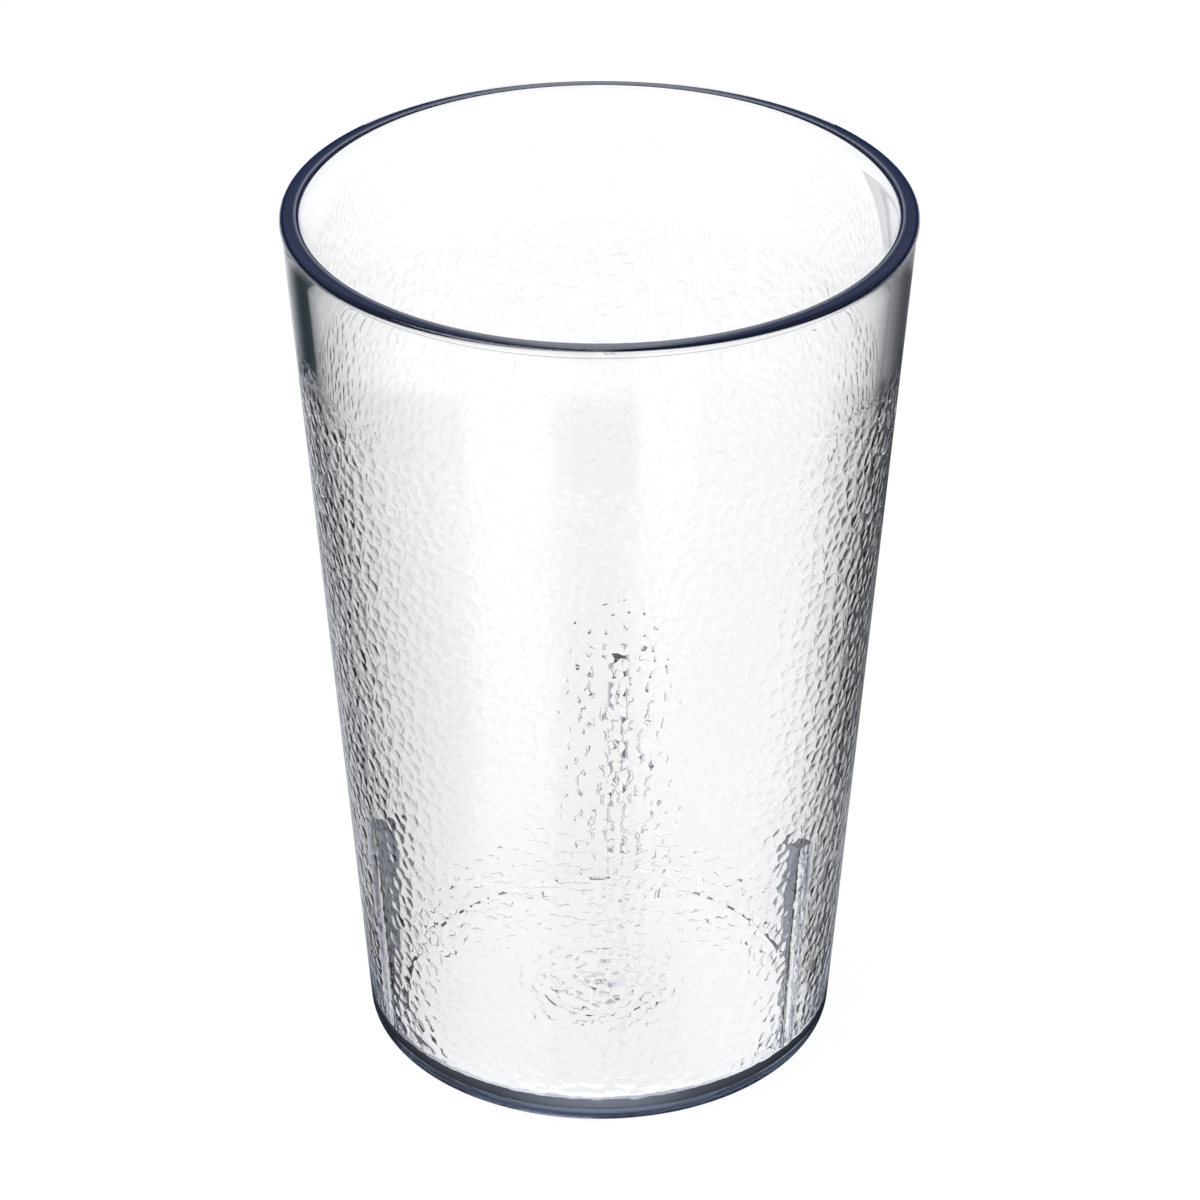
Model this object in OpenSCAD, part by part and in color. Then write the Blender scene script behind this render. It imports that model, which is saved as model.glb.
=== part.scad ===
// Stacking tumbler, moulded in one piece of clear plastic: a tapered wall with a rim band, a plain
// drinking band, a grained grip, a plain foot, a raised floor and stacking lugs inside.

/* [Cup] */
// Height from the table to the top of the rim
cup_h = 105; // [95:1:120]
// Outer diameter across the rim band
rim_d = 71; // [68:0.5:80]
// Outer diameter of the foot, where the side wall's line meets the table
foot_d = 55; // [48:0.5:58]
// Thickness of the side wall, measured level
wall_t = 2.1; // [1.6:0.1:3]

/* [Rim] */
// Height of the rim band
rim_h = 0.9; // [0.8:0.1:4]
// How far the rim band stands out from the wall under it
rim_step = 0.2; // [0.1:0.05:0.6]
// Radius of the lip's outer edge
lip_outer_r = 0.6; // [0.3:0.05:0.8]
// Radius of the lip's inner edge
lip_inner_r = 0.4; // [0.2:0.05:0.6]

/* [Grip] */
// Height of the plain drinking band under the rim band
drink_h = 16; // [8:0.5:30]
// Height of the plain foot band under the grained grip
foot_band_h = 3.5; // [2.5:0.1:8]
// How far the grained grip stands out from the plain bands
grain_relief = 0.12; // [0.05:0.01:0.3]

/* [Base] */
// Thickness of the floor
floor_t = 2; // [1.4:0.1:4]
// Height of the hollow under the floor
hollow_h = 0.8; // [0.4:0.1:2]
// Width of the flat ring that the tumbler stands on
ring_w = 1.4; // [0.8:0.1:3]
// Radius of the heel between the side wall and the ring
heel_r = 2; // [1:0.1:2.4]
// Radius of the inner corner between the side wall and the floor
corner_r = 1; // [0.6:0.1:3]
// Diameter of the shallow dish round the moulding gate, under the floor
gate_dish_d = 14; // [8:0.5:20]
// Depth of that dish
gate_dish_h = 0.3; // [0.2:0.05:0.6]
// Diameter of the gate's stub
gate_d = 2.6; // [1:0.1:4]

/* [Stacking lugs] */
// Number of lugs
lug_n = 3; // [3:1:6]
// Width of a lug at its inner edge
lug_w = 1.5; // [1:0.1:3]
// Draft of a lug's sides, each side in degrees
lug_draft = 4; // [0:1:8]
// Depth of the ledge on which the next tumbler's foot lands
ledge_w = 2.5; // [1.5:0.1:3.5]
// Radius that rounds the ledge's inner end
ledge_r = 0.5; // [0.2:0.1:0.8]
// Clearance between the wall and a nested tumbler's foot when it sits on the ledges
nest_gap = 0.3; // [0.1:0.05:0.6]
// Direction of the first lug, turned from the +X axis
lug_turn = -35; // [-60:1:60]

/* [Hidden] */
$fn = 96;
clear_plastic = [0.80, 0.86, 0.92, 0.45];
arc_steps = 6;

rim_r = rim_d / 2;
foot_r = foot_d / 2;
wall_top_r = rim_r - rim_step;
band_z = cup_h - rim_h;
grip_top_z = band_z - drink_h;
slope = (wall_top_r - foot_r) / band_z;
lean = atan(slope);
floor_z = hollow_h + floor_t;
mouth_r = outer_r(cup_h) - wall_t;
ring_inner_r = foot_r - heel_r - ring_w;
// The lip's outer radius stays inside the rim band
lip_r = min(lip_outer_r, 0.8 * rim_h);
// Height at which the wall has grown just wide enough for a nested foot
ledge_z = (wall_t + nest_gap) / slope;
lug_inner_r = inner_r(ledge_z) - ledge_w;

// Outer radius of the plain wall at a height
function outer_r(z) = foot_r + slope * z;

// Inner radius of the wall at a height
function inner_r(z) = outer_r(z) - wall_t;

// Points along an arc round a centre, from one angle to another
function arc(centre, r, from, to) =
    [for (i = [0 : arc_steps])
        let (a = from + (to - from) * i / arc_steps)
        centre + r * [cos(a), sin(a)]];

// The heel rolls from the ring into the leaning side wall
function heel_arc() =
    let (centre = [outer_r(heel_r) - heel_r / cos(lean), heel_r])
    arc(centre, heel_r, -90, -lean);

// The inside corner rolls from the floor into the wall
function corner_arc() =
    let (z = floor_z + corner_r, centre = [inner_r(z) - corner_r / cos(lean), z])
    arc(centre, corner_r, -lean, -90);

// The half section of the cup without its lugs
module section() {
    polygon(concat(
        [[0, hollow_h], [ring_inner_r - hollow_h, hollow_h], [ring_inner_r, 0]],
        heel_arc(),
        [
            [outer_r(foot_band_h), foot_band_h],
            [outer_r(foot_band_h) + grain_relief, foot_band_h + grain_relief],
            [outer_r(grip_top_z) + grain_relief, grip_top_z - grain_relief],
            [outer_r(grip_top_z), grip_top_z],
            [wall_top_r, band_z],
            [rim_r, band_z]
        ],
        arc([rim_r - lip_r, cup_h - lip_r], lip_r, 0, 90),
        arc([mouth_r + lip_inner_r, cup_h - lip_inner_r], lip_inner_r, 90, 180),
        corner_arc(),
        [[0, floor_z]]
    ));
}

// The side view of a lug, from inside the wall to its upright inner edge
module lug_side() {
    root = wall_t / 2;
    low = floor_z - floor_t / 2;
    polygon(concat(
        [[lug_inner_r, low]],
        arc([lug_inner_r + ledge_r, ledge_z - ledge_r], ledge_r, 180, 90),
        [[inner_r(ledge_z) + root, ledge_z], [inner_r(low) + root, low]]
    ));
}

// The plan of a lug, which its draft makes wider towards the wall
module lug_plan() {
    tail = inner_r(ledge_z) + wall_t / 2;
    spread = (tail - lug_inner_r) * tan(lug_draft);
    polygon([
        [lug_inner_r, -lug_w / 2],
        [tail, -lug_w / 2 - spread],
        [tail, lug_w / 2 + spread],
        [lug_inner_r, lug_w / 2]
    ]);
}

module lug() {
    width = lug_w + 4 * ledge_w * tan(lug_draft) + wall_t;
    intersection() {
        rotate([90, 0, 0]) translate([0, 0, -width / 2])
            linear_extrude(width) lug_side();
        linear_extrude(ledge_z) lug_plan();
    }
}

// The gate's dish is sunk into the underside, round a stub that ends flush with it
module gate_dish() {
    difference() {
        cylinder(d = gate_dish_d, h = hollow_h + gate_dish_h);
        translate([0, 0, -1]) cylinder(d = gate_d, h = cup_h);
    }
}

module tumbler() {
    color(clear_plastic)
    difference() {
        union() {
            rotate_extrude() section();
            for (i = [0 : lug_n - 1]) rotate([0, 0, lug_turn + i * 360 / lug_n]) lug();
        }
        gate_dish();
    }
}

tumbler();
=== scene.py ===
"""A clear stacking tumbler on a white table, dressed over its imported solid."""

import math

import bpy
import numpy as np
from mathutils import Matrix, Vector


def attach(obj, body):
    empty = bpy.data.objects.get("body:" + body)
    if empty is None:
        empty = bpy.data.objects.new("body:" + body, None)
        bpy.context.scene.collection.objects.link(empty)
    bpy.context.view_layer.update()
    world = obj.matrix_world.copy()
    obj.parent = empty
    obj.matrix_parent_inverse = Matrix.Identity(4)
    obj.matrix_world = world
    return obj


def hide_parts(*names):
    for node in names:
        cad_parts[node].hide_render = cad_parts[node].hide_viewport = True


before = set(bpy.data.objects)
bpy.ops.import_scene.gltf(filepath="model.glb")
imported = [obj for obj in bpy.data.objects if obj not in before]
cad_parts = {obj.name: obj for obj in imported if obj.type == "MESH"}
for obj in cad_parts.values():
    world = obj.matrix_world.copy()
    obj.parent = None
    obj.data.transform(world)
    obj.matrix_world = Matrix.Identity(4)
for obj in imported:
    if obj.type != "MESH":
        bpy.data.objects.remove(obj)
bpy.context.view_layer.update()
scene = bpy.context.scene

# Camera
# A studio camera on a stand, thirty degrees above the cup, which looks along +Y. Its lens, height and
# distance come from the outlines of the rim, the wall and the foot in the photograph.
photo_width = 1200
focal_length_px = 4858.8
sideways_shift = 0.0004
upward_shift_px = 17.61
camera_tilt = math.radians(29.93)
camera_range = 0.5646
aim = Vector((0.0, 0.0, 0.0525))

lens = bpy.data.cameras.new("camera")
lens.sensor_width = 36.0
lens.lens = lens.sensor_width * focal_length_px / photo_width
lens.shift_x = sideways_shift
lens.shift_y = upward_shift_px / photo_width
lens.clip_start = 0.01
camera = bpy.data.objects.new("camera", lens)
camera.location = aim + camera_range * Vector((0.0, -math.cos(camera_tilt), math.sin(camera_tilt)))
camera.rotation_euler = (math.pi / 2 - camera_tilt, 0.0, 0.0)
scene.collection.objects.link(camera)
scene.camera = camera
scene.view_settings.view_transform = "Standard"

# Table
# A flat table under a wide sheet of white paper, which runs on behind the cup. The cup only rests on
# it. The lens sees it plain white. For mirrored rays it glows with a painted reflection of a dim room,
# with two long painted lamps in front, dark screens at the sides and black felt behind.
table_half_width = 3.0
table_drop = 0.0001
paper_white = (1.02, 1.02, 1.02)
paper_grey = (0.8, 0.8, 0.8, 1)
paper_glow = 0.96

# How bright the painted room's light is on the table, as a painted reflection for mirrored rays, once
# round from the front by the left, the back and the right, in four rings at growing distances from the cup
light_beside_cup = [
    (0.0, 0.35), (0.04, 0.35), (0.05, 0.55), (0.11, 0.5), (0.15, 0.3), (0.19, 0.15), (0.23, 0.08),
    (0.28, 0.15), (0.33, 0.42), (0.4, 0.45), (0.46, 0.3), (0.52, 0.24), (0.62, 0.32), (0.68, 0.24),
    (0.76, 0.1), (0.79, 0.45), (0.83, 0.75), (0.89, 0.7), (0.93, 0.4), (0.96, 0.3), (1.0, 0.3),
]
light_near_cup = [
    (0.0, 0.33), (0.043, 0.33), (0.05, 0.95), (0.13, 0.95), (0.14, 0.3), (0.19, 0.2), (0.23, 0.12),
    (0.27, 0.08), (0.31, 0.18), (0.35, 0.38), (0.39, 0.46), (0.43, 0.42), (0.47, 0.28), (0.5, 0.24),
    (0.58, 0.18), (0.62, 0.1), (0.66, 0.07), (0.71, 0.1), (0.735, 0.4), (0.77, 0.8), (0.8, 0.9),
    (0.957, 0.9), (0.965, 0.33), (1.0, 0.33),
]
light_mid_table = [
    (0.0, 0.33), (0.043, 0.33), (0.05, 0.95), (0.13, 0.95), (0.14, 0.25), (0.19, 0.2), (0.23, 0.18),
    (0.27, 0.07), (0.32, 0.08), (0.36, 0.14), (0.384, 0.28), (0.412, 0.4), (0.43, 0.55), (0.46, 0.35),
    (0.52, 0.24), (0.57, 0.03), (0.6, 0.05), (0.64, 0.07), (0.66, 0.05), (0.71, 0.08), (0.735, 0.4),
    (0.76, 0.85), (0.8, 0.9), (0.957, 0.9), (0.965, 0.33), (1.0, 0.33),
]
# The black felt of the painted room, painted dark on the table for mirrored rays
painted_black = (0.003, 0.01, 0.012)
painted_black_edge = (0.02, 0.035, 0.04)
light_far_off = [
    (0.0, 1.0), (0.2, 0.95), (0.26, 0.5), (0.3, 0.15), (0.37, painted_black), (0.387, painted_black),
    (0.403, painted_black_edge), (0.415, 0.12), (0.422, 0.25), (0.437, 0.55), (0.47, 0.4), (0.52, 0.3),
    (0.56, 0.1), (0.575, 0.02), (0.59, 0.05), (0.62, 0.11), (0.632, 0.24), (0.65, 0.12), (0.69, 0.3),
    (0.73, 0.7), (0.77, 0.9), (1.0, 0.9),
]
# Where each ring takes over from the one inside it, in quarters of a metre from the cup's middle
ring_scale = 4.0
outer_rings = [
    (light_near_cup, [(0.22, 0), (0.32, 1)]),
    (light_mid_table, [(0.4, 0), (0.52, 1)]),
    (light_far_off, [(0.676, 0), (0.69, 1)]),
]
horizon_starts = [(0.82, 0), (0.92, 1)]
horizon_light = (0.85, 0.85, 0.85)
dusk_cast = (1.26, 1.3, 1.38)
# What is mirrored over and over inside the plastic ends in the dark, painted dark on the table
trapped_light = (0.01, 0.012, 0.02)
trapped_after = 3.5

# The strip round the foot, a painted reflection on the table that only the outside of the heel
# mirrors: painted dark shade next to the foot, then bright. It is bright in front only.
foot_strip_r = 0.033
foot_strip_scale = 30.0
foot_strip = [(0.83, (0.015, 0.02, 0.035)), (0.87, (0.05, 0.06, 0.1)), (0.93, (0.62, 0.7, 0.92))]
foot_strip_round = [
    (0.0, 1), (0.03, 0.9), (0.08, 0.35), (0.16, 0.14), (0.3, 0.12), (0.36, 0.04), (0.64, 0.04),
    (0.7, 0.12), (0.84, 0.14), (0.92, 0.35), (0.97, 0.9), (1.0, 1),
]
foot_strip_gain = (5.2, 5.2, 5.0)

# A painted grey band of shade slants across the table behind the cup, seen only through the plastic,
# and shows through the inside of the lip
shade_band_slant = 0.36
shade_band_scale = 5.0
painted_shade_band = [
    (0.709, 1.0), (0.711, 0.6), (0.733, 0.68), (0.737, 0.38), (0.75, 0.44), (0.756, 0.75),
    (0.79, 0.85), (0.82, 1.0),
]
shade_band_starts = [(0.83, 0), (0.86, 1)]


def lay_table(half_width):
    mesh = bpy.data.meshes.new("table")
    corners = [(-half_width, -half_width), (half_width, -half_width),
               (half_width, half_width), (-half_width, half_width)]
    mesh.from_pydata([(x, y, -table_drop) for x, y in corners], [], [(0, 1, 2, 3)])
    table = bpy.data.objects.new("table", mesh)
    scene.collection.objects.link(table)
    return table


def grade(tree, value, stops):
    """A ramp of greys or colours along a value, from (place, colour) pairs."""
    ramp = tree.nodes.new("ShaderNodeValToRGB")
    marks = ramp.color_ramp.elements
    while len(marks) < len(stops):
        marks.new(0.5)
    for mark, (place, colour) in zip(marks, stops):
        mark.position = place
        mark.color = (*colour, 1) if isinstance(colour, tuple) else (colour, colour, colour, 1)
    tree.links.new(value, ramp.inputs["Fac"])
    return ramp.outputs["Color"]


def reckon(tree, kind, a, b=0.0, c=0.0):
    """One step of arithmetic on numbers or on what other nodes give."""
    node = tree.nodes.new("ShaderNodeMath")
    node.operation = kind
    for socket, value in zip(node.inputs, (a, b, c)):
        if isinstance(value, (int, float)):
            socket.default_value = value
        else:
            tree.links.new(value, socket)
    return node.outputs[0]


def blend(tree, kind, a, b, share):
    """Colour b laid over colour a by a share, mixed or multiplied."""
    node = tree.nodes.new("ShaderNodeMix")
    node.data_type = "RGBA"
    node.blend_type = kind
    for socket, value in ((node.inputs[0], share), (node.inputs[6], a), (node.inputs[7], b)):
        if isinstance(value, (int, float)):
            socket.default_value = value
        elif isinstance(value, tuple):
            socket.default_value = (*value, 1)
        else:
            tree.links.new(value, socket)
    return node.outputs[2]


def before_plastic(tree, seen):
    """True for light that is mirrored off the outside, before it has passed into the plastic."""
    return reckon(tree, "LESS_THAN", seen.outputs["Transmission Depth"], 0.5)


def room_on_table(tree, seen, x, y):
    """The painted reflection that mirrored rays find on the table."""
    turn = reckon(tree, "MULTIPLY_ADD", reckon(tree, "ARCTAN2", x, y), 1 / (2 * math.pi), 0.5)
    square = reckon(tree, "ADD", reckon(tree, "MULTIPLY", x, x), reckon(tree, "MULTIPLY", y, y))
    reach = reckon(tree, "SQRT", square)
    rings = reckon(tree, "MULTIPLY", reach, ring_scale)
    light = grade(tree, turn, light_beside_cup)
    for ring, starts in outer_rings:
        light = blend(tree, "MIX", light, grade(tree, turn, ring), grade(tree, rings, starts))
    light = blend(tree, "MIX", light, horizon_light, grade(tree, rings, horizon_starts))
    light = blend(tree, "MULTIPLY", light, dusk_cast, 1.0)
    strip = grade(tree, reckon(tree, "MULTIPLY", reach, foot_strip_scale), foot_strip)
    strip = blend(tree, "MULTIPLY", strip, grade(tree, turn, foot_strip_round), 1.0)
    strip = blend(tree, "MULTIPLY", strip, foot_strip_gain, 1.0)
    under_heel = reckon(tree, "LESS_THAN", reach, foot_strip_r)
    on_strip = reckon(tree, "MULTIPLY", before_plastic(tree, seen), under_heel)
    light = blend(tree, "MIX", light, strip, on_strip)
    trapped = reckon(tree, "GREATER_THAN", seen.outputs["Glossy Depth"], trapped_after)
    return blend(tree, "MIX", light, trapped_light, trapped), rings


def paper_through_plastic(tree, x, y, rings):
    """The white paper as it shows through the plastic, with the painted grey band of shade on it."""
    across = reckon(tree, "ADD", x, reckon(tree, "MULTIPLY", y, shade_band_slant))
    shade_band = grade(tree, reckon(tree, "MULTIPLY", across, shade_band_scale), painted_shade_band)
    behind = reckon(tree, "MULTIPLY", grade(tree, rings, shade_band_starts), reckon(tree, "GREATER_THAN", y, 0.0))
    return blend(tree, "MULTIPLY", (1.0, 1.0, 1.0), shade_band, behind)


def table_paper():
    paper = bpy.data.materials.new("table_paper")
    paper.use_nodes = True
    tree = paper.node_tree
    tree.nodes.clear()
    out = tree.nodes.new("ShaderNodeOutputMaterial")
    seen = tree.nodes.new("ShaderNodeLightPath")
    place = tree.nodes.new("ShaderNodeNewGeometry")
    split = tree.nodes.new("ShaderNodeSeparateXYZ")
    tree.links.new(place.outputs["Position"], split.inputs[0])
    x, y = split.outputs["X"], split.outputs["Y"]
    light, rings = room_on_table(tree, seen, x, y)
    mirrored = reckon(tree, "MINIMUM", seen.outputs["Glossy Depth"], 1.0)
    shown = blend(tree, "MIX", paper_through_plastic(tree, x, y, rings), light, mirrored)
    shown = blend(tree, "MIX", shown, paper_white, seen.outputs["Is Camera Ray"])
    glow = tree.nodes.new("ShaderNodeEmission")
    tree.links.new(shown, glow.inputs["Color"])
    lit = tree.nodes.new("ShaderNodeBsdfDiffuse")
    lit.inputs["Color"].default_value = paper_grey
    in_plastic = reckon(tree, "MAXIMUM", seen.outputs["Is Glossy Ray"], seen.outputs["Is Transmission Ray"])
    looked_at = reckon(tree, "MAXIMUM", seen.outputs["Is Camera Ray"], in_plastic)
    from_above = tree.nodes.new("ShaderNodeMixShader")
    tree.links.new(reckon(tree, "MULTIPLY", looked_at, paper_glow), from_above.inputs[0])
    tree.links.new(lit.outputs[0], from_above.inputs[1])
    tree.links.new(glow.outputs[0], from_above.inputs[2])
    # From underneath the table isn't there, so that the foot can be looked at
    gone = tree.nodes.new("ShaderNodeBsdfTransparent")
    sided = tree.nodes.new("ShaderNodeMixShader")
    tree.links.new(place.outputs["Backfacing"], sided.inputs[0])
    tree.links.new(from_above.outputs[0], sided.inputs[1])
    tree.links.new(gone.outputs[0], sided.inputs[2])
    tree.links.new(sided.outputs[0], out.inputs["Surface"])
    return paper


table = lay_table(table_half_width)
table.data.materials.append(table_paper())

# Room
# A plain pale studio that lights the table evenly, with one soft lamp hung above on the left. The
# gloss of the plastic mirrors it as blue dusk, darker overhead, with a bright slit over the cup.
wall_grey = (0.62, 0.64, 0.66)
air_through_plastic = (0.9, 0.93, 0.98)
camera_white = (1.0, 1.0, 1.0)
# From straight down to straight up
dusk_inside = [
    (0.0, (0.55, 0.57, 0.62)), (0.3, (0.85, 0.87, 0.92)), (0.62, (0.95, 0.97, 1.0)),
    (0.7, (0.1, 0.14, 0.3)), (0.75, (0.012, 0.02, 0.07)), (1.0, (0.01, 0.016, 0.05)),
]
dusk_on_surface = [
    (0.0, (0.03, 0.05, 0.16)), (0.36, (0.04, 0.07, 0.2)), (0.46, (0.17, 0.2, 0.38)),
    (0.56, (0.17, 0.2, 0.38)), (0.75, (0.1, 0.14, 0.3)),
]
slit_light = (0.8, 0.85, 1.0)
slit_scale = 10.0
slit_edge = [(0.1, 1), (0.35, 0)]
surface_gain = (2.0, 2.0, 2.0)
lamp_place = (-0.25, -0.1, 0.75)
lamp_size = 0.5
lamp_watts = 3.0


def light_room():
    room = bpy.data.worlds.new("room")
    room.use_nodes = True
    scene.world = room
    tree = room.node_tree
    tree.nodes.clear()
    out = tree.nodes.new("ShaderNodeOutputWorld")
    seen = tree.nodes.new("ShaderNodeLightPath")
    air = blend(tree, "MIX", wall_grey, air_through_plastic, seen.outputs["Is Transmission Ray"])
    way = tree.nodes.new("ShaderNodeTexCoord")
    split = tree.nodes.new("ShaderNodeSeparateXYZ")
    tree.links.new(way.outputs["Generated"], split.inputs[0])
    inside = grade(tree, split.outputs["Z"], dusk_inside)
    surface = grade(tree, split.outputs["Z"], dusk_on_surface)
    aside = reckon(tree, "MULTIPLY", reckon(tree, "ABSOLUTE", split.outputs["X"]), slit_scale)
    surface = blend(tree, "MIX", surface, slit_light, grade(tree, aside, slit_edge))
    surface = blend(tree, "MULTIPLY", surface, surface_gain, 1.0)
    dusk = blend(tree, "MIX", inside, surface, before_plastic(tree, seen))
    air = blend(tree, "MIX", air, dusk, reckon(tree, "MINIMUM", seen.outputs["Glossy Depth"], 1.0))
    air = blend(tree, "MIX", air, camera_white, seen.outputs["Is Camera Ray"])
    plain = tree.nodes.new("ShaderNodeBackground")
    tree.links.new(air, plain.inputs["Color"])
    tree.links.new(plain.outputs[0], out.inputs["Surface"])


def hang_lamp(name, place, size, watts):
    lamp = bpy.data.lights.new(name, "AREA")
    lamp.shape = "RECTANGLE"
    lamp.size = size
    lamp.size_y = size
    lamp.energy = watts
    hung = bpy.data.objects.new(name, lamp)
    hung.location = place
    hung.rotation_euler = (aim - Vector(place)).to_track_quat("-Z", "Y").to_euler()
    scene.collection.objects.link(hung)


light_room()
hang_lamp("soft_top", lamp_place, lamp_size, lamp_watts)

# Tumbler
# One injection moulding of clear SAN plastic, gated in the middle of its underside. Its outer wall
# is grained between the drinking band and the foot. The rim, the inside, the three stacking lugs and
# the foot come off polished steel.
cup_h = 0.105
rim_r = 0.0355
foot_r = 0.0275
wall_t = 0.0021
rim_h = 0.0009
rim_step = 0.0002
lip_outer_r = 0.0006
lip_inner_r = 0.0004
drink_h = 0.016
foot_band_h = 0.0035
floor_t = 0.002
hollow_h = 0.0008
ring_w = 0.0014
heel_r = 0.002
corner_r = 0.001
gate_dish_r = 0.007
gate_dish_h = 0.0003
gate_r = 0.0013
wall_top_r = rim_r - rim_step
band_z = cup_h - rim_h
grip_top_z = band_z - drink_h
slope = (wall_top_r - foot_r) / band_z
lean = math.atan(slope)
floor_z = hollow_h + floor_t
mouth_r = foot_r + slope * cup_h - wall_t
ring_inner_r = foot_r - heel_r - ring_w
# The smallest ring round the middle, and the bevels of the stub, the dish and the rim band
middle_r = 0.0005
stub_bevel = 0.00002
dish_bevel = 0.0001
band_bevel = 0.0001
# The painted navy shade of the heel fades out between these heights
navy_full_z = 0.0024
navy_end_z = 0.0026


def outer_r(z):
    return foot_r + slope * z


def inner_r(z):
    return outer_r(z) - wall_t


def bend(r_centre, z_centre, r, start, end, steps):
    """Points round a bend of the section, angles in degrees."""
    angles = np.radians(np.linspace(start, end, steps + 1))
    return [(r_centre + r * math.cos(a), z_centre + r * math.sin(a)) for a in angles]


def straight(a, b, steps):
    """Points along a straight run of the section, without its two ends."""
    return [(a[0] + (b[0] - a[0]) * k / steps, a[1] + (b[1] - a[1]) * k / steps) for k in range(1, steps)]


def underside():
    """From the gate over its dish to the ring that the cup stands on."""
    dish_z = hollow_h + gate_dish_h
    rows = [(middle_r, hollow_h), (gate_r, hollow_h), (gate_r + stub_bevel, dish_z)]
    rows += straight((gate_r, dish_z), (gate_dish_r, dish_z), steps=4)
    rows += [(gate_dish_r, dish_z), (gate_dish_r + dish_bevel, hollow_h)]
    rows += straight((gate_dish_r, hollow_h), (ring_inner_r - hollow_h, hollow_h), steps=10)
    return rows + [(ring_inner_r - hollow_h, hollow_h), (ring_inner_r, 0.0)]


def outside():
    """From the heel up the grip and the drinking band to the rim band."""
    heel_centre_r = outer_r(heel_r) - heel_r / math.cos(lean)
    rows = bend(heel_centre_r, heel_r, heel_r, -90, -math.degrees(lean), steps=12)
    rows += [(outer_r(z), z) for z in (navy_full_z, navy_end_z, foot_band_h)]
    grip_top = (outer_r(grip_top_z), grip_top_z)
    rows += straight(rows[-1], grip_top, steps=60) + [grip_top]
    rows += straight(grip_top, (wall_top_r, band_z), steps=8)
    rows += [(wall_top_r, band_z - band_bevel), (wall_top_r, band_z)]
    return rows + [(rim_r, band_z + band_bevel), (rim_r, band_z + 2 * band_bevel)]


def lip():
    """Over the top, with a larger radius outside than inside."""
    rows = bend(rim_r - lip_outer_r, cup_h - lip_outer_r, lip_outer_r, 0, 90, steps=8)
    return rows + bend(mouth_r + lip_inner_r, cup_h - lip_inner_r, lip_inner_r, 90, 180, steps=6)


# Three lugs stand inside on the floor and run into the wall. Their ledges carry the next cup's foot,
# at the height where the wall has grown just wide enough for it.
nest_gap = 0.0003
ledge_w = 0.0025
ledge_r = 0.0005
ledge_z = (wall_t + nest_gap) / slope
# The fold between the ledge and the wall over it
ledge_fold = 0.000002
lug_r = foot_r + slope * ledge_z - wall_t - ledge_w
lug_angles = (-35, 85, 205)
# Half of a lug's width at its inner edge
lug_half = 0.00075
lug_draft = math.radians(4)
lug_middle_z = 0.016
# Radii of a lug's upright edges, and of the fillets at its roots
edge_r = 0.0004
root_r = 0.0005
# The last point of a fillet counts as just before the wall's face, and stays on the wall
fillet_end = -1e-9
# The wall is bare from this many degrees beside a lug's middle, and this many columns divide it
bare_from = 3.6
bare_columns = 110


def inside():
    """From the ledges' height down the wall, round the corner and over the floor."""
    rows = [(inner_r(ledge_z), ledge_z), (inner_r(ledge_z), ledge_z - ledge_fold)]
    for drop in ledge_r * (1 - np.cos(np.radians([20, 40, 60, 75, 90]))):
        rows.append((inner_r(ledge_z - drop), ledge_z - drop))
    corner_z = floor_z + corner_r
    corner_centre_r = inner_r(corner_z) - corner_r / math.cos(lean)
    corner = bend(corner_centre_r, corner_z, corner_r, -math.degrees(lean), -90, steps=8)
    rows += straight(rows[-1], corner[0], steps=20) + corner
    return rows + straight(corner[-1], (middle_r, floor_z), steps=14) + [(middle_r, floor_z)]


def cup_section():
    """The half section from the middle of the underside, up the outside, over the lip and down
    inside, and how many of its points come before the lugs."""
    rows = underside() + outside() + lip()
    rows += straight(rows[-1], (inner_r(ledge_z), ledge_z), steps=40)
    return rows + inside(), len(rows)


def lug_plan():
    """Half of a lug's plan as (how far aside, how far behind its inner edge) pairs. On the fillet
    the second is how far before the wall, and negative."""
    plan = [(0.0, 0.0), (0.5 * (lug_half - edge_r), 0.0)]
    for a in np.radians([0, 25, 50, 70, 85]):
        plan.append((lug_half - edge_r + edge_r * math.sin(a), edge_r * (1 - math.cos(a))))
    root = lug_half + (ledge_w - edge_r) * math.tan(lug_draft)
    for a in np.radians([5, 20, 40, 65, 90]):
        plan.append((root + root_r * (1 - math.cos(a)), fillet_end - root_r * (1 - math.sin(a))))
    return plan


def cup_columns():
    """Directions round the cup, closer together at the lugs, each with its place on a lug or None."""
    plan = lug_plan()
    across = inner_r(lug_middle_z)
    spacing = 360 / len(lug_angles)
    columns = []
    for lug in np.radians(lug_angles):
        columns += [(lug - u / across, (lug, -u, depth)) for u, depth in plan[:0:-1]]
        columns += [(lug + u / across, (lug, u, depth)) for u, depth in plan]
        bare = np.linspace(bare_from, spacing - bare_from, bare_columns)
        columns += [(lug + math.radians(a), None) for a in bare]
    return columns


# How deep the painted grey shade of trapped light is in a lug's flanks and round the gate
flank_share = 1.0
stub_share = 1.0
stub_middle_share = 0.5
dish_edge_share = 0.25


def gate_grey_shade(r, z):
    """Painted grey shade where light is trapped in the gate's stub, and a little of it at the edge of the
    dish.
    """
    if z > floor_z - floor_t / 2:
        return 0.0
    if r < gate_r:
        return stub_middle_share
    if r <= gate_r + stub_bevel:
        return stub_share
    return dish_edge_share if gate_dish_r <= r <= gate_dish_r + dish_bevel else 0.0


def on_lug(place, x, y, z):
    """The point of a lug in front of a point of the wall or the floor, or None where there is none."""
    axis, u, depth = place
    rounded = max(0.0, z - (ledge_z - ledge_r))
    tip_r = lug_r + ledge_r - math.sqrt(max(0.0, ledge_r ** 2 - rounded ** 2))
    reach = tip_r + depth if depth >= 0 else inner_r(z) + depth
    if depth == fillet_end or math.hypot(x, y) <= reach:
        return None
    return (reach * math.cos(axis) - u * math.sin(axis), reach * math.sin(axis) + u * math.cos(axis), z)


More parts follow.
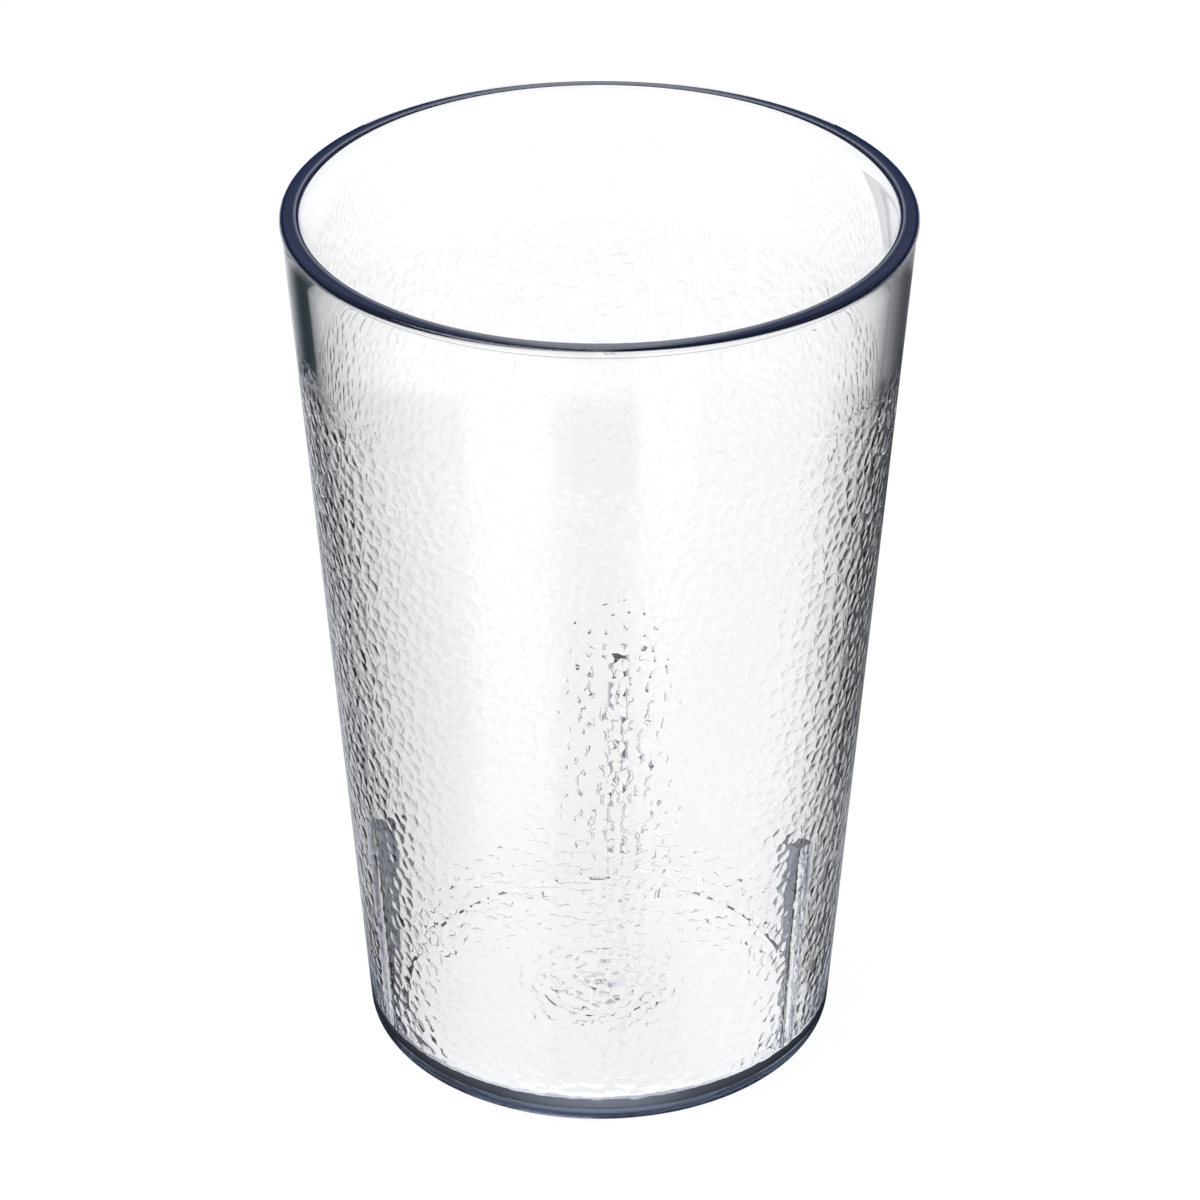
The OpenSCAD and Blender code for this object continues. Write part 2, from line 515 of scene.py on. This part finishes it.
def mould_cup():
    """The whole moulding, with the painted grey shade of the lugs' flanks and the gate at its points."""
    rows, first_lug_row = cup_section()
    columns = cup_columns()
    points, grey_shade_shares = [], []
    for j, (r, z) in enumerate(rows):
        for turn, place in columns:
            x, y = r * math.cos(turn), r * math.sin(turn)
            lug_point = on_lug(place, x, y, z) if place and j > first_lug_row and z < ledge_z else None
            points.append(lug_point or (x, y, z))
            if lug_point:
                grey_shade_shares.append(flank_share if abs(place[1]) > lug_half - 0.6 * edge_r else 0.0)
            else:
                grey_shade_shares.append(gate_grey_shade(r, z))
    points += [(0, 0, hollow_h), (0, 0, floor_z)]
    grey_shade_shares += [0.0, 0.0]
    under_middle, floor_middle = len(points) - 2, len(points) - 1
    n = len(columns)
    top_row = (len(rows) - 1) * n
    faces = []
    for low in range(0, top_row, n):
        for i in range(n):
            k = (i + 1) % n
            faces.append((low + i, low + k, low + n + k, low + n + i))
    for i in range(n):
        k = (i + 1) % n
        faces.append((under_middle, k, i))
        faces.append((floor_middle, top_row + i, top_row + k))
    mesh = bpy.data.meshes.new("tumbler_body")
    mesh.from_pydata(points, [], faces)
    mesh.attributes.new("painted_grey_zone", "FLOAT", "POINT").data.foreach_set("value", grey_shade_shares)
    mesh.validate()
    for face in mesh.polygons:
        face.use_smooth = True
    mesh.set_sharp_from_angle(angle=math.radians(40))
    body = bpy.data.objects.new("tumbler_body", mesh)
    scene.collection.objects.link(body)
    return body


# The outside is what lies within this depth of the outer face. Navy shade is painted on it at the
# rolled heel and along a thin line under the rim band.
skin = 0.0005
navy_line_share = 0.85
# Heights over which the grain fades in above the foot band and out below the drinking band
grain_fade_low = 0.0006
grain_fade_high = 0.0025
grain_overlap = 0.0005


def mark_zones(mesh):
    """Where the outside is grained, and where navy shade is painted on its edge."""
    places = np.zeros(len(mesh.vertices) * 3)
    mesh.vertices.foreach_get("co", places)
    x, y, z = places.reshape(-1, 3).T
    outer = np.hypot(x, y) > outer_r(z) - skin
    fade_in = np.clip((z - foot_band_h) / grain_fade_low, 0, 1)
    fade_out = np.clip((grip_top_z + grain_overlap - z) / grain_fade_high, 0, 1)
    mesh.attributes.new("grain", "FLOAT", "POINT").data.foreach_set("value", fade_in * fade_out * outer)
    # Painted navy shade at the rolled heel, and a thin line of it under the rim band
    navy = np.clip((navy_end_z - z) / (navy_end_z - navy_full_z), 0, 1) * outer
    navy[outer & (np.abs(z - band_z - band_bevel / 2) < 0.6 * band_bevel)] = navy_line_share
    mesh.attributes.new("painted_navy_zone", "FLOAT", "POINT").data.foreach_set("value", navy)


def unroll_wall(mesh):
    """The wall unrolled into a flat sector, so that the grain keeps its size from foot to rim."""
    places = np.zeros(len(mesh.vertices) * 3)
    mesh.vertices.foreach_get("co", places)
    x, y, z = places.reshape(-1, 3).T
    corner = np.zeros(len(mesh.loops), dtype=int)
    mesh.loops.foreach_get("vertex_index", corner)
    start = np.zeros(len(mesh.polygons), dtype=int)
    count = np.zeros(len(mesh.polygons), dtype=int)
    mesh.polygons.foreach_get("loop_start", start)
    mesh.polygons.foreach_get("loop_total", count)
    turn = np.arctan2(y[corner], x[corner])
    first = np.repeat(turn[start], count)
    turn += 2 * math.pi * np.round((first - turn) / (2 * math.pi))
    slant = np.hypot(x, y)[corner] / math.sin(lean)
    along = slant * np.cos(turn * math.sin(lean)) - foot_r / math.sin(lean)
    around = slant * np.sin(turn * math.sin(lean))
    mesh.uv_layers.new(name="wall").data.foreach_set("uv", np.stack([along, around], 1).ravel())


# Water-clear plastic, with grey or navy shade painted into its colour where light is trapped in an edge
water_clear = (1.0, 1.0, 1.0)
painted_grey_shade = (0.28, 0.3, 0.35)
painted_navy_shade = (0.011, 0.015, 0.032)
# How many pebbles there are to a metre, and how unevenly they stand
pebbles_per_metre = 590.0
pebble_unevenness = 0.8
# How often and how far their outlines stray
stray_scale = 900.0
stray_width = 0.0004
# How much their tops differ, how steep their sides are and how high they stand
pebble_swell = 0.3
pebble_steepness = 1.5
pebble_height = 0.000075


def pebbles(tree):
    """Low rounded islands of uneven height and outline on the unrolled wall."""
    place = tree.nodes.new("ShaderNodeUVMap")
    place.uv_map = "wall"
    stray = tree.nodes.new("ShaderNodeTexNoise")
    stray.noise_dimensions = "2D"
    stray.inputs["Scale"].default_value = stray_scale
    stray.inputs["Detail"].default_value = 0.0
    tree.links.new(place.outputs["UV"], stray.inputs["Vector"])
    shift = tree.nodes.new("ShaderNodeVectorMath")
    shift.operation = "MULTIPLY_ADD"
    shift.inputs[1].default_value = (stray_width, stray_width, 0.0)
    tree.links.new(stray.outputs["Color"], shift.inputs[0])
    tree.links.new(place.outputs["UV"], shift.inputs[2])
    cells = tree.nodes.new("ShaderNodeTexVoronoi")
    cells.voronoi_dimensions = "2D"
    cells.feature = "F1"
    cells.inputs["Scale"].default_value = pebbles_per_metre
    cells.inputs["Randomness"].default_value = pebble_unevenness
    tree.links.new(shift.outputs["Vector"], cells.inputs["Vector"])
    swell = reckon(tree, "MULTIPLY", cells.outputs["Color"], pebble_swell)
    outwards = reckon(tree, "ADD", cells.outputs["Distance"], swell)
    fall = reckon(tree, "MINIMUM", reckon(tree, "MULTIPLY", outwards, pebble_steepness), 1.0)
    return reckon(tree, "SUBTRACT", 1.0, reckon(tree, "MULTIPLY", fall, fall))


def zone(tree, name):
    """How far a point lies in a marked zone of the mesh, from 0 to 1."""
    mark = tree.nodes.new("ShaderNodeAttribute")
    mark.attribute_name = name
    return mark.outputs["Fac"]


def clear_plastic():
    plastic = bpy.data.materials.new("clear_plastic")
    plastic.use_nodes = True
    tree = plastic.node_tree
    shader = tree.nodes["Principled BSDF"]
    shader.inputs["Roughness"].default_value = 0.0
    shader.inputs["IOR"].default_value = 1.57
    shader.inputs["Transmission Weight"].default_value = 1.0
    # Painted grey shade of trapped light on the lugs' flanks and round the gate
    grey_shaded = blend(tree, "MIX", water_clear, painted_grey_shade, zone(tree, "painted_grey_zone"))
    # The painted navy shade darkens light on its way in, so that it doesn't show through from behind
    side = tree.nodes.new("ShaderNodeNewGeometry")
    going_in = reckon(tree, "SUBTRACT", 1.0, side.outputs["Backfacing"])
    navy = reckon(tree, "MULTIPLY", zone(tree, "painted_navy_zone"), going_in)
    tree.links.new(blend(tree, "MIX", grey_shaded, painted_navy_shade, navy), shader.inputs["Base Color"])
    bump = tree.nodes.new("ShaderNodeBump")
    bump.inputs["Strength"].default_value = 1.0
    bump.inputs["Distance"].default_value = pebble_height
    tree.links.new(reckon(tree, "MULTIPLY", pebbles(tree), zone(tree, "grain")), bump.inputs["Height"])
    tree.links.new(bump.outputs[0], shader.inputs["Normal"])
    return plastic


body = mould_cup()
mark_zones(body.data)
unroll_wall(body.data)
body.data.materials.append(clear_plastic())
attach(body, "root")
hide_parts("tumbler")
